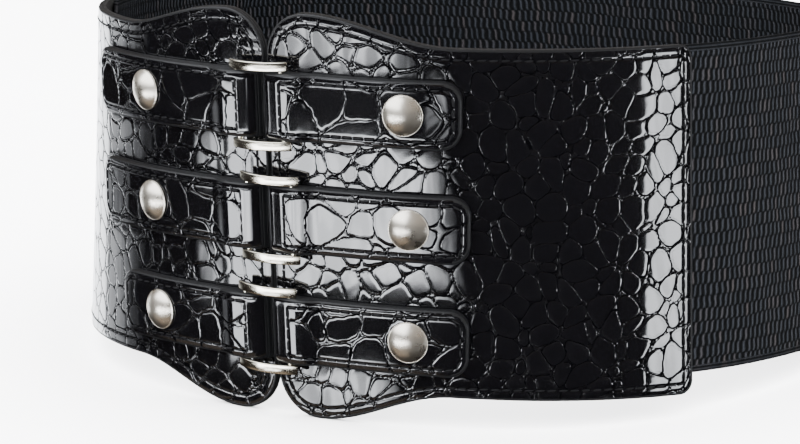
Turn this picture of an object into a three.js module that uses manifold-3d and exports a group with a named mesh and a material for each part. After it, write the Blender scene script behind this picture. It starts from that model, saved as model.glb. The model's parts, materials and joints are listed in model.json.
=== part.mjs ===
// Wide elastic waist belt, fastened in front and standing on its lower edge.
// Millimetres, +Z up, the closure faces -Y. Places on the wall are given as
// s, the length along the wall from the middle of the closure towards +X,
// z, the height from the middle of the elastic, and n, the offset outwards
// from the outer face of the two front panels.

import * as THREE from 'three';
import { mergeVertices } from 'three/addons/utils/BufferGeometryUtils.js';
import Module from 'manifold-3d';

const wasm = await Module();
wasm.setup();

// Plan of the wall: a superellipse with a deep front half and a shallow back half
const plan = { halfWidth: 122.7, frontDepth: 144, backDepth: 72, frontPower: 2.44, backPower: 2.15 };
const planSteps = 1440;

// Slope of the wall, in mm outwards for each mm upwards
const slope = { front: 0.092, side: -0.076, back: 0 };

// Front panels: straight strips with a round lobe above and below the closure
const panel = {
  thickness: 2.6, top: 50.5, bottom: -55.9, length: 136.3, gap: 0.8, gapShift: -1.3,
  lobeTop: 58.8, lobeBottom: -66.4, lobeRadius: 14, lobeEnd: 60, cornerRadius: 4.5, edge: 0.5,
};

// Elastic, which starts behind the end of each panel
const elastic = { thickness: 1.6, halfHeight: 50, tuck: 14, clearance: 0.45, edge: 0.3 };

// The three closures, top to bottom, each with two straps, a ring and two studs
const rows = { middle: -3.9, pitch: 34.6, count: 3 };

const strap = {
  thickness: 2.9, clearance: 0.3, halfHeight: 10.3, cornerRadius: 6, edge: 0.5,
  foldRise: 2.1, foldSquash: 0.75,
};

// What differs between the two sides, with the tips and studs of the rows from top to bottom
const strapSides = [
  {
    name: 'right', side: 1, end: -0.3, foldDrop: 0.9, foldRadius: 2.5, foldTop: 10, foldStart: 17.5,
    tips: [61, 64, 64], studs: [44.2, 45.8, 45.6],
  },
  {
    name: 'left', side: -1, end: 2.6, foldDrop: 0, foldRadius: 7, foldTop: 13.3, foldStart: 20.8,
    tips: [77.5, 77, 66], studs: [47, 46.4, 46],
  },
];

// Ring: two round bars across the folds and two bowed flat rails along the straps
const ring = {
  barAt: 8, barRadius: 1.1, barOffset: 2.9, barHole: 1.4,
  railMiddle: 12.15, railHeight: 2.9, railThickness: 1.4, railHalfLength: 10.6,
  railPeak: 6.2, railBow: 2.7, railEdge: 0.35, railSteps: 9, barSides: 12,
};

// How each ring has settled: its shift along the wall and its turn on it, in degrees
const ringPoses = [{ shift: -1.35, turn: 1 }, { shift: 0.55, turn: -0.8 }, { shift: -1.9, turn: -1.6 }];

// Stud: a dome on a thin rim, with a shank through the strap
const stud = {
  radius: 6.3, rim: 0.55, rimWidth: 0.5, domeRadius: 5.7, domeHeight: 2.5,
  shankRadius: 2, shankHole: 2.35, clearance: 0.3, sides: 24, domeSteps: 6,
  rimChamfer: 0.2, rimMiddle: 0.4, rimFoot: 0.8,
};

// Holes are cut longer than the strap is thick or wide
const hole = { length: 31, sides: 16 };

const finishes = {
  leather: { color: 0x0b0c0f, roughness: 0.18, metalness: 0 },
  webbing: { color: 0x171a1f, roughness: 0.9, metalness: 0 },
  nickel: { color: 0xc9c3b4, roughness: 0.28, metalness: 1 },
};

// Walks the plan once and keeps the length reached at each point.
function walkPlan() {
  const points = [];
  let length = 0;
  for (let i = 0; i <= planSteps; i++) {
    const turn = Math.PI * (2 * i / planSteps - 1);
    const front = Math.cos(turn) > 0;
    const depth = front ? plan.frontDepth : plan.backDepth;
    const power = front ? plan.frontPower : plan.backPower;
    const across = Math.abs(Math.sin(turn)) / plan.halfWidth;
    const along = Math.abs(Math.cos(turn)) / depth;
    const radius = (across ** power + along ** power) ** (-1 / power);
    const point = new THREE.Vector2(radius * Math.sin(turn), -radius * Math.cos(turn));
    if (i > 0) length += point.distanceTo(points[i - 1].point);
    points.push({ point, length });
  }
  return points;
}

const planPoints = walkPlan();
const planLength = planPoints.at(-1).length;

function pointOnPlan(s) {
  const wanted = THREE.MathUtils.euclideanModulo(s + planLength / 2, planLength);
  let low = 0;
  let high = planSteps;
  while (high - low > 1) {
    const middle = (low + high) >> 1;
    if (planPoints[middle].length > wanted) high = middle;
    else low = middle;
  }
  const a = planPoints[low];
  const b = planPoints[high];
  return a.point.clone().lerp(b.point, (wanted - a.length) / (b.length - a.length));
}

// The wall at s: its point in plan, its outward direction and its slope.
function wallAt(s) {
  const reach = 1.5;
  const along = pointOnPlan(s + reach).sub(pointOnPlan(s - reach)).normalize();
  const out = new THREE.Vector2(along.y, -along.x);
  const faceSlope = out.y < 0 ? slope.front : slope.back;
  return { point: pointOnPlan(s), out, slope: slope.side * out.x ** 2 + faceSlope * out.y ** 2 };
}

// The wall's own axes at s: along it, up its slope and squarely out of it.
function axesAt(wall) {
  const up = new THREE.Vector3(wall.out.x * wall.slope, wall.out.y * wall.slope, 1).normalize();
  const along = new THREE.Vector3(-wall.out.y, wall.out.x, 0);
  return { along, up, out: new THREE.Vector3().crossVectors(along, up) };
}

function place(s, z, n) {
  const wall = wallAt(s);
  const { up, out } = axesAt(wall);
  const foot = new THREE.Vector3(wall.point.x, wall.point.y, 0);
  return foot.addScaledVector(up, z / up.z).addScaledVector(out, n);
}

// Turns a small piece's own axes (along, up, out) to the wall at (s, z).
function standOnWall(object, s, z) {
  const { along, up, out } = axesAt(wallAt(s));
  object.quaternion.setFromRotationMatrix(new THREE.Matrix4().makeBasis(along, up, out));
  object.position.copy(place(s, z, 0));
  object.updateMatrix();
}

// Numbers from start to end, both included.
function spread(start, end, steps) {
  return Array.from({ length: steps + 1 }, (_, i) => start + (end - start) * i / steps);
}

// Numbers that follow a quarter circle, close together where it starts.
function roundSpread(start, end, steps) {
  return spread(0, Math.PI / 2, steps).map((turn) => start + (end - start) * (1 - Math.cos(turn)));
}

// How far a corner of this radius has dropped at a distance from its end.
function cornerDrop(distance, radius) {
  if (distance >= radius) return 0;
  return radius - Math.sqrt(radius ** 2 - (radius - Math.max(distance, 0)) ** 2);
}

// A closed solid through a row of loops of points, with a flat cap at each end.
function loft(loops) {
  const size = loops[0].length;
  const positions = loops.flat().flatMap((point) => point.toArray());
  const index = [];
  for (let i = 0; i < loops.length - 1; i++) {
    for (let j = 0; j < size; j++) {
      const a = i * size + j;
      const b = i * size + (j + 1) % size;
      index.push(a, b, b + size, a, b + size, a + size);
    }
  }
  const last = (loops.length - 1) * size;
  for (let j = 1; j < size - 1; j++) {
    index.push(0, j + 1, j, last, last + j, last + j + 1);
  }
  const geometry = new THREE.BufferGeometry();
  geometry.setAttribute('position', new THREE.Float32BufferAttribute(positions, 3));
  geometry.setIndex(index);
  if (signedVolume(geometry) < 0) {
    for (let t = 0; t < index.length; t += 3) [index[t], index[t + 1]] = [index[t + 1], index[t]];
    geometry.setIndex(index);
  }
  geometry.computeVertexNormals();
  return geometry;
}

function signedVolume(geometry) {
  const corner = geometry.getAttribute('position');
  const index = geometry.getIndex();
  const [a, b, c] = [new THREE.Vector3(), new THREE.Vector3(), new THREE.Vector3()];
  let volume = 0;
  for (let t = 0; t < index.count; t += 3) {
    a.fromBufferAttribute(corner, index.getX(t));
    b.fromBufferAttribute(corner, index.getX(t + 1));
    c.fromBufferAttribute(corner, index.getX(t + 2));
    volume += a.dot(b.cross(c)) / 6;
  }
  return volume;
}

// One loop of a strip's section at s, with its two outer edges chamfered.
function stripLoop(s, low, high, inner, outer, edge) {
  const corners = [
    [low, inner], [high, inner], [high, outer - edge],
    [high - edge, outer], [low + edge, outer], [low, outer - edge],
  ];
  return corners.map(([z, n]) => place(s, z, n));
}

// A solid of the exact joining and cutting, from a geometry and back.
function toSolid(geometry, matrix) {
  const bare = new THREE.BufferGeometry();
  bare.setAttribute('position', geometry.getAttribute('position').clone());
  if (geometry.getIndex()) bare.setIndex(geometry.getIndex());
  if (matrix) bare.applyMatrix4(matrix);
  const merged = mergeVertices(bare, 1e-4);
  return new wasm.Manifold(new wasm.Mesh({
    numProp: 3,
    vertProperties: new Float32Array(merged.getAttribute('position').array),
    triVerts: new Uint32Array(merged.getIndex().array),
  }));
}

function toGeometry(solid) {
  const mesh = solid.getMesh();
  const geometry = new THREE.BufferGeometry();
  geometry.setAttribute('position', new THREE.BufferAttribute(new Float32Array(mesh.vertProperties), 3));
  geometry.setIndex(new THREE.BufferAttribute(new Uint32Array(mesh.triVerts), 1));
  geometry.computeVertexNormals();
  return geometry;
}

function named(name, geometry, finish) {
  const mesh = new THREE.Mesh(geometry, new THREE.MeshStandardMaterial(finish));
  mesh.name = name;
  return mesh;
}

// Height of a panel's edge at a distance from the closure: lobe, fall, straight, corner.
function panelEdge(distance, straight, lobe) {
  const rise = Math.abs(lobe - straight);
  const fall = (distance - panel.lobeRadius) / (panel.lobeEnd - panel.lobeRadius);
  const eased = (1 + Math.cos(Math.PI * THREE.MathUtils.clamp(fall, 0, 1))) / 2;
  const drop = cornerDrop(distance, panel.lobeRadius)
    + cornerDrop(panel.length - distance, panel.cornerRadius);
  return straight + Math.sign(straight) * (rise * eased - drop);
}

function makePanel(side) {
  const start = panel.gapShift + side * panel.gap / 2;
  const lobe = roundSpread(0, panel.lobeRadius, 9);
  const fall = spread(panel.lobeRadius, panel.lobeEnd, 14);
  const straight = spread(panel.lobeEnd, panel.length - panel.cornerRadius, 16);
  const corner = roundSpread(panel.length, panel.length - panel.cornerRadius, 5).reverse();
  const distances = [...lobe, ...fall.slice(1), ...straight.slice(1), ...corner.slice(1)];
  return loft(distances.map((distance) => {
    const low = panelEdge(distance, panel.bottom, panel.lobeBottom);
    const high = panelEdge(distance, panel.top, panel.lobeTop);
    return stripLoop(start + side * distance, low, high, -panel.thickness, 0, panel.edge);
  }));
}

function makeElastic() {
  const outer = -panel.thickness - elastic.clearance;
  const start = panel.length - elastic.tuck;
  const stations = spread(start, planLength - start, 84);
  const { halfHeight, thickness, edge } = elastic;
  return loft(stations.map((s) => stripLoop(s, -halfHeight, halfHeight, outer - thickness, outer, edge)));
}

// Outer face of a strap over its fold, at a distance from the closure.
function strapTop(distance, sort) {
  const flat = strap.clearance + strap.thickness;
  const climb = THREE.MathUtils.smoothstep(sort.foldStart - distance, 0, sort.foldStart - sort.foldTop);
  const ease = THREE.MathUtils.smoothstep(sort.foldTop - distance, 0, sort.foldTop - sort.end);
  const nose = cornerDrop(distance - sort.end, sort.foldRadius);
  return flat + strap.foldRise * climb - sort.foldDrop * ease - nose * strap.foldSquash;
}

function makeStrap(sort, row, middle) {
  const end = sort.tips[row];
  const nose = roundSpread(sort.end, sort.end + sort.foldRadius, 5);
  const fold = spread(sort.end + sort.foldRadius, sort.foldStart, 8);
  const body = spread(sort.foldStart, end - strap.cornerRadius, 12);
  const tip = roundSpread(end, end - strap.cornerRadius, 6).reverse();
  const distances = [...nose, ...fold.slice(1), ...body.slice(1), ...tip.slice(1)];
  const geometry = loft(distances.map((distance) => {
    const half = strap.halfHeight - cornerDrop(end - distance, strap.cornerRadius);
    const top = strapTop(distance, sort);
    return stripLoop(sort.side * distance, middle - half, middle + half, strap.clearance, top, strap.edge);
  }));
  return toGeometry(toSolid(geometry)
    .subtract(acrossStrap(sort, middle, ringPoses[row]))
    .subtract(throughStrap(sort.side * sort.studs[row], middle)));
}

// Room for the ring's bar, which runs up through the strap's fold.
function acrossStrap(sort, middle, pose) {
  const bore = new THREE.CylinderGeometry(ring.barHole, ring.barHole, hole.length, hole.sides);
  bore.translate(sort.side * ring.barAt, 0, ring.barOffset);
  const frame = new THREE.Object3D();
  settleRing(frame, middle, pose);
  return toSolid(bore, frame.matrix);
}

// Hole for the stud's shank.
function throughStrap(s, middle) {
  const frame = new THREE.Object3D();
  standOnWall(frame, s, middle);
  const bore = new THREE.CylinderGeometry(stud.shankHole, stud.shankHole, hole.length, hole.sides);
  bore.rotateX(Math.PI / 2);
  return toSolid(bore, frame.matrix);
}

// Stands a ring on its row, shifted and turned as it has settled.
function settleRing(object, middle, pose) {
  standOnWall(object, pose.shift, middle);
  object.rotateZ(THREE.MathUtils.degToRad(pose.turn));
  object.updateMatrix();
}

// A rail: its side view is an outer arc with an inner arc below it.
function makeRail() {
  const { railHalfLength: half, railBow: bow, railThickness: thickness } = ring;
  const radius = (half ** 2 + bow ** 2) / (2 * bow);
  const turn = Math.asin(half / radius);
  const centre = ring.railPeak - radius;
  const shape = new THREE.Shape();
  shape.absarc(0, centre, radius - ring.railEdge, Math.PI / 2 - turn, Math.PI / 2 + turn, false);
  shape.absarc(0, centre, radius - thickness + ring.railEdge, Math.PI / 2 + turn, Math.PI / 2 - turn, true);
  shape.closePath();
  const rail = new THREE.ExtrudeGeometry(shape, {
    depth: ring.railHeight - 2 * ring.railEdge, curveSegments: ring.railSteps,
    bevelEnabled: true, bevelSegments: 1, bevelSize: ring.railEdge, bevelThickness: ring.railEdge,
  });
  rail.translate(0, 0, ring.railEdge - ring.railHeight / 2);
  rail.rotateX(Math.PI / 2);
  return rail;
}

function makeRing() {
  let solid;
  const join = (piece) => { solid = solid ? solid.add(piece) : piece; };
  for (const side of [-1, 1]) {
    const rail = makeRail();
    rail.translate(0, side * ring.railMiddle, 0);
    join(toSolid(rail));
    const bar = new THREE.CylinderGeometry(
      ring.barRadius, ring.barRadius, 2 * ring.railMiddle, ring.barSides,
    );
    bar.translate(side * ring.barAt, 0, ring.barOffset);
    join(toSolid(bar));
  }
  return toGeometry(solid);
}

function makeStud() {
  const seat = strap.clearance + strap.thickness + stud.clearance;
  const foot = 2 * stud.clearance;
  const domeFoot = seat + stud.rim * stud.rimFoot;
  const domeRadius = (stud.domeRadius ** 2 + stud.domeHeight ** 2) / (2 * stud.domeHeight);
  const domeTurn = Math.asin(stud.domeRadius / domeRadius);
  const dome = spread(domeTurn, 0, stud.domeSteps).map((turn) => new THREE.Vector2(
    turn === 0 ? 0 : domeRadius * Math.sin(turn),
    domeFoot + stud.domeHeight - domeRadius * (1 - Math.cos(turn)),
  ));
  const profile = [
    new THREE.Vector2(0, foot),
    new THREE.Vector2(stud.shankRadius, foot),
    new THREE.Vector2(stud.shankRadius, seat),
    new THREE.Vector2(stud.radius - stud.rimChamfer, seat),
    new THREE.Vector2(stud.radius, seat + stud.rim * stud.rimMiddle),
    new THREE.Vector2(stud.radius - stud.rimChamfer, seat + stud.rim),
    new THREE.Vector2(stud.radius - stud.rimWidth, domeFoot),
    ...dome,
  ];
  const geometry = new THREE.LatheGeometry(profile, stud.sides);
  geometry.rotateX(Math.PI / 2);
  return geometry;
}

const belt = new THREE.Group();
belt.add(named('panel_right', makePanel(1), finishes.leather));
belt.add(named('panel_left', makePanel(-1), finishes.leather));
belt.add(named('elastic_band', makeElastic(), finishes.webbing));

for (let row = 0; row < rows.count; row++) {
  const middle = rows.middle + rows.pitch * ((rows.count - 1) / 2 - row);
  for (const sort of strapSides) {
    const solid = makeStrap(sort, row, middle);
    belt.add(named(`strap_${sort.name}_${row + 1}`, solid, finishes.leather));
    const cap = named(`stud_${sort.name}_${row + 1}`, makeStud(), finishes.nickel);
    standOnWall(cap, sort.side * sort.studs[row], middle);
    belt.add(cap);
  }
  const clasp = named(`ring_${row + 1}`, makeRing(), finishes.nickel);
  settleRing(clasp, middle, ringPoses[row]);
  belt.add(clasp);
}

// The lobes reach lower than the elastic, so the belt leans back on its lower edge.
const lobeDrop = -elastic.halfHeight - panel.lobeBottom;
belt.rotation.x = -Math.atan2(lobeDrop, plan.frontDepth + plan.backDepth);
belt.updateMatrixWorld(true);
const bounds = new THREE.Box3().setFromObject(belt, true);
const centre = bounds.getCenter(new THREE.Vector3());
belt.position.set(-centre.x, -centre.y, -bounds.min.z);

const root = new THREE.Group();
root.add(belt);
export default root;
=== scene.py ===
"""Wide elastic waist belt: the looks of its leather, elastic and metal, its light and its camera."""
from __future__ import annotations

import json
import logging
import math
from dataclasses import dataclass, field
from enum import Enum
from typing import Callable, Sequence

import bmesh
import bpy
import numpy as np
from mathutils import Matrix, Vector
from mathutils.kdtree import KDTree

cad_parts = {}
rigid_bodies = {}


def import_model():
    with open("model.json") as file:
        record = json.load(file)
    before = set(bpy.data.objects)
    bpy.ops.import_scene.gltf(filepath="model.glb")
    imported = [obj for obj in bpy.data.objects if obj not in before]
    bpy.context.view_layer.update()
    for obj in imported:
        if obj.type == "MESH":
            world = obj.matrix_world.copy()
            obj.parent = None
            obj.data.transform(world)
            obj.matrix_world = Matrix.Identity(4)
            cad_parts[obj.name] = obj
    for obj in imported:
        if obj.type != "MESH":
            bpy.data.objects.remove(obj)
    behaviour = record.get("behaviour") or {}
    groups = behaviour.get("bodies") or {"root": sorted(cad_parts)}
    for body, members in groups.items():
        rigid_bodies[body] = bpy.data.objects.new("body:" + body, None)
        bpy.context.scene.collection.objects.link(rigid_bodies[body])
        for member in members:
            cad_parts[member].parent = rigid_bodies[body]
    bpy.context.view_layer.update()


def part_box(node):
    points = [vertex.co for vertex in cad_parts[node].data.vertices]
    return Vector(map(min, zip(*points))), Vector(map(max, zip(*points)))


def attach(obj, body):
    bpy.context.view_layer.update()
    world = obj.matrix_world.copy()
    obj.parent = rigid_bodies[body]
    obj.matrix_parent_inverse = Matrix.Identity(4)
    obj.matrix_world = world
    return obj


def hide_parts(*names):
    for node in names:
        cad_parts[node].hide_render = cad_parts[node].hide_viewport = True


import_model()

log = logging.getLogger("belt")
MM = 0.001
Array = np.ndarray

# A way to the nearest groove, in millimetres, that stands for none
NO_GROOVE = 9.0


class Side(Enum):
    """The two halves of the closure, by the sign of their lengths along the wall."""

    RIGHT = 1
    LEFT = -1

    @property
    def word(self) -> str:
        """The side's word in node names."""
        return self.name.lower()


def corner_drop(distance: Array | float, radius: float) -> Array:
    """How far a round corner has dropped at a distance from its end.

    Args:
        distance: distances from the end of the corner, in metres.
        radius: the corner's radius.

    Returns:
        The drops, 0 past the radius.
    """
    inside = np.clip(radius - np.asarray(distance, float), 0.0, radius)
    return radius - np.sqrt(radius**2 - inside**2)


def smooth_step(value: Array, low: float, high: float) -> Array:
    """An eased 0 to 1 between low and high, also where low is the larger."""
    t = np.clip((np.asarray(value, float) - low) / (high - low), 0.0, 1.0)
    return t * t * (3 - 2 * t)


def round_spread(start: float, end: float, steps: int) -> Array:
    """Numbers from start to end that follow a quarter circle, close together at the start."""
    return start + (end - start) * (1 - np.cos(np.linspace(0, math.pi / 2, steps + 1)))


def even_spread(start: float, end: float, spacing: float) -> Array:
    """Numbers from start to end, both included, about a spacing apart."""
    return np.linspace(start, end, max(int(math.ceil(abs(end - start) / spacing)), 1) + 1)


@dataclass(frozen=True)
class Wall:
    """The belt's wall: its plan, its slope and how it stands.

    Places are s, the length along the wall from the closure towards +X, z, the
    height from the middle of the elastic, and n, the offset from the panels' face.
    """

    half_width: float = 122.7 * MM
    front_depth: float = 144 * MM
    back_depth: float = 72 * MM
    front_power: float = 2.44
    back_power: float = 2.15
    front_slope: float = 0.092
    side_slope: float = -0.076
    lobe_drop: float = 16.4 * MM
    steps: int = 1440
    reach: float = 1.5 * MM

    def walk(self) -> tuple[Array, Array, Array]:
        """Walks the plan once, from the middle of the back round to it again.

        Returns:
            The lengths along the wall and the plan's x and y there.
        """
        turn = np.pi * (2 * np.arange(self.steps + 1) / self.steps - 1)
        front = np.cos(turn) > 0
        depth = np.where(front, self.front_depth, self.back_depth)
        power = np.where(front, self.front_power, self.back_power)
        across = np.abs(np.sin(turn)) / self.half_width
        along = np.abs(np.cos(turn)) / depth
        radius = (across**power + along**power) ** (-1 / power)
        x, y = radius * np.sin(turn), -radius * np.cos(turn)
        length = np.concatenate([[0.0], np.cumsum(np.hypot(np.diff(x), np.diff(y)))])
        return length - length[-1] / 2, x, y

    @property
    def length(self) -> float:
        """The whole length of the wall."""
        return float(self.walk()[0][-1] * 2)

    def tilted(self, s: Array, z: Array, n: Array) -> Array:
        """Points of the wall leaning back on its lower edge, before it is set on the floor.

        Args:
            s: lengths along the wall.
            z: heights.
            n: offsets outwards.

        Returns:
            One row of x, y and z for each place.
        """
        lengths, xs, ys = self.walk()
        total = lengths[-1] * 2

        def at(where: Array) -> tuple[Array, Array]:
            wrapped = np.mod(where + total / 2, total) - total / 2
            return np.interp(wrapped, lengths, xs), np.interp(wrapped, lengths, ys)

        x, y = at(s)
        ahead, behind = at(s + self.reach), at(s - self.reach)
        dx, dy = ahead[0] - behind[0], ahead[1] - behind[1]
        size = np.hypot(dx, dy)
        out_x, out_y = dy / size, -dx / size
        slope = self.side_slope * out_x**2 + np.where(out_y < 0, self.front_slope, 0.0) * out_y**2
        lean = np.sqrt(1 + slope**2)
        x = x + out_x * (slope * z + n / lean)
        y = y + out_y * (slope * z + n / lean)
        height = z - n * slope / lean
        turn = -math.atan2(self.lobe_drop, self.front_depth + self.back_depth)
        cos, sin = math.cos(turn), math.sin(turn)
        return np.stack([x, y * cos - height * sin, y * sin + height * cos], axis=-1)


@dataclass(frozen=True)
class Panel:
    """Sizes of a front panel, the same on both sides."""

    thickness: float = 2.6 * MM
    top: float = 50.5 * MM
    bottom: float = -55.9 * MM
    length: float = 136.3 * MM
    gap: float = 0.8 * MM
    gap_shift: float = -1.3 * MM
    lobe_top: float = 58.8 * MM
    lobe_bottom: float = -66.4 * MM
    lobe_radius: float = 14 * MM
    lobe_end: float = 60 * MM
    corner_radius: float = 4.5 * MM

    def edge(self, distance: Array, straight: float, lobe: float) -> Array:
        """Height of the panel's edge at distances from the closure.

        Args:
            distance: distances from the closure's edge.
            straight: the height of the straight stretch.
            lobe: the height of the lobe's peak.

        Returns:
            The heights.
        """
        fall = np.clip((distance - self.lobe_radius) / (self.lobe_end - self.lobe_radius), 0, 1)
        eased = (1 + np.cos(np.pi * fall)) / 2
        drop = corner_drop(distance, self.lobe_radius)
        drop = drop + corner_drop(self.length - distance, self.corner_radius)
        return straight + math.copysign(1, straight) * (abs(lobe - straight) * eased - drop)


@dataclass(frozen=True)
class Elastic:
    """Sizes of the elastic band."""

    thickness: float = 1.6 * MM
    half_height: float = 50 * MM
    tuck: float = 14 * MM
    clearance: float = 0.45 * MM
    stations: int = 84


@dataclass(frozen=True)
class StrapSort:
    """What differs between the straps of the two sides.

    Attributes:
        side: the side that the straps come from.
        end: where the fold ends, from the middle of the closure.
        fold_drop: how far the fold's face falls from its top to its end.
        fold_radius: radius of the fold's nose.
        fold_top: where the fold's face is highest.
        fold_start: where the strap starts to rise to the fold.
        seam_start: where the seam that crosses the strap runs.
        tips: where the straps end, from the top row down.
        studs: where the studs are.
    """

    side: Side
    end: float
    fold_drop: float
    fold_radius: float
    fold_top: float
    fold_start: float
    seam_start: float
    tips: tuple[float, float, float]
    studs: tuple[float, float, float]


@dataclass(frozen=True)
class Strap:
    """Sizes that all six straps share."""

    thickness: float = 2.9 * MM
    clearance: float = 0.3 * MM
    half_height: float = 10.3 * MM
    corner_radius: float = 6 * MM
    fold_rise: float = 2.1 * MM
    fold_squash: float = 0.75

    def face(self, distance: Array, sort: StrapSort) -> Array:
        """Offset of the strap's outer face over its fold.

        Args:
            distance: distances from the middle of the closure.
            sort: which of the two sorts of strap.

        Returns:
            The offsets.
        """
        climb = smooth_step(distance, sort.fold_start, sort.fold_top)
        ease = smooth_step(distance, sort.fold_top, sort.end)
        nose = corner_drop(distance - sort.end, sort.fold_radius)
        flat = self.clearance + self.thickness
        return flat + self.fold_rise * climb - sort.fold_drop * ease - nose * self.fold_squash


# Sizes of the two sorts of strap, with their tips and studs from the top row down
RIGHT_STRAP = StrapSort(
    Side.RIGHT, -0.3 * MM, 0.9 * MM, 2.5 * MM, 10 * MM, 17.5 * MM, 6.4 * MM,
    tips=(61 * MM, 64 * MM, 64 * MM), studs=(44.2 * MM, 45.8 * MM, 45.6 * MM))
LEFT_STRAP = StrapSort(
    Side.LEFT, 2.6 * MM, 0.0, 7 * MM, 13.3 * MM, 20.8 * MM, 8.8 * MM,
    tips=(77.5 * MM, 77 * MM, 66 * MM), studs=(47 * MM, 46.4 * MM, 46 * MM))

# Sizes that several pieces share
WALL = Wall()
PANEL = Panel()
ELASTIC = Elastic()
STRAP = Strap()
ROW_MIDDLE = -3.9 * MM
ROW_PITCH = 34.6 * MM

# How each ring has settled: its shift along the wall, and its turn in degrees
RING_POSES = ((-1.35 * MM, 1.0), (0.55 * MM, -0.8), (-1.9 * MM, -1.6))


def row_middle(row: int) -> float:
    """Height of the middle of a row of straps."""
    return ROW_MIDDLE + ROW_PITCH * (2 - row)


def standing_shift() -> Array:
    """The move that sets the leaning wall on the floor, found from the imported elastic's box."""
    start = PANEL.length - ELASTIC.tuck
    s = np.linspace(start, WALL.length - start, ELASTIC.stations + 1)
    outer = -PANEL.thickness - ELASTIC.clearance
    s, z, n = (a.ravel() for a in np.meshgrid(
        s, [-ELASTIC.half_height, ELASTIC.half_height], [outer - ELASTIC.thickness, outer]))
    points = WALL.tilted(s, z, n)
    low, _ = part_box("elastic_band")
    shift = np.array(low) - points.min(axis=0)
    shift[0] = 0.0
    return shift


SHIFT = standing_shift()


def on_wall(s: Array, z: Array, n: Array) -> Array:
    """Places on the wall as points of the scene.

    Args:
        s: lengths along the wall from the closure.
        z: heights from the middle of the elastic.
        n: offsets outwards from the panels' face.

    Returns:
        One row of x, y and z in metres for each place.
    """
    s, z, n = np.broadcast_arrays(np.asarray(s, float), np.asarray(z, float), np.asarray(n, float))
    return WALL.tilted(s, z, n) + SHIFT


def wall_matrix(s: float, z: float, n: float = 0.0, turn: float = 0.0) -> Matrix:
    """The frame of a small piece on the wall: along it, up it and out of it.

    Args:
        s: length along the wall.
        z: height.
        n: offset outwards.
        turn: turn of the along axis towards the up axis, in radians.

    Returns:
        A matrix from the piece's own axes to the scene.
    """
    step = 0.2 * MM
    around = on_wall(np.array([s, s + step, s - step, s, s]), np.array([z, z, z, z + step, z - step]),
                     np.full(5, n))
    along = Vector(around[1] - around[2]).normalized()
    up = Vector(around[3] - around[4]).normalized()
    out = along.cross(up).normalized()
    up = out.cross(along)
    x_axis = along * math.cos(turn) + up * math.sin(turn)
    y_axis = out.cross(x_axis)
    matrix = Matrix((x_axis, y_axis, out)).transposed().to_4x4()
    matrix.translation = Vector(around[0])
    return matrix


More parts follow.
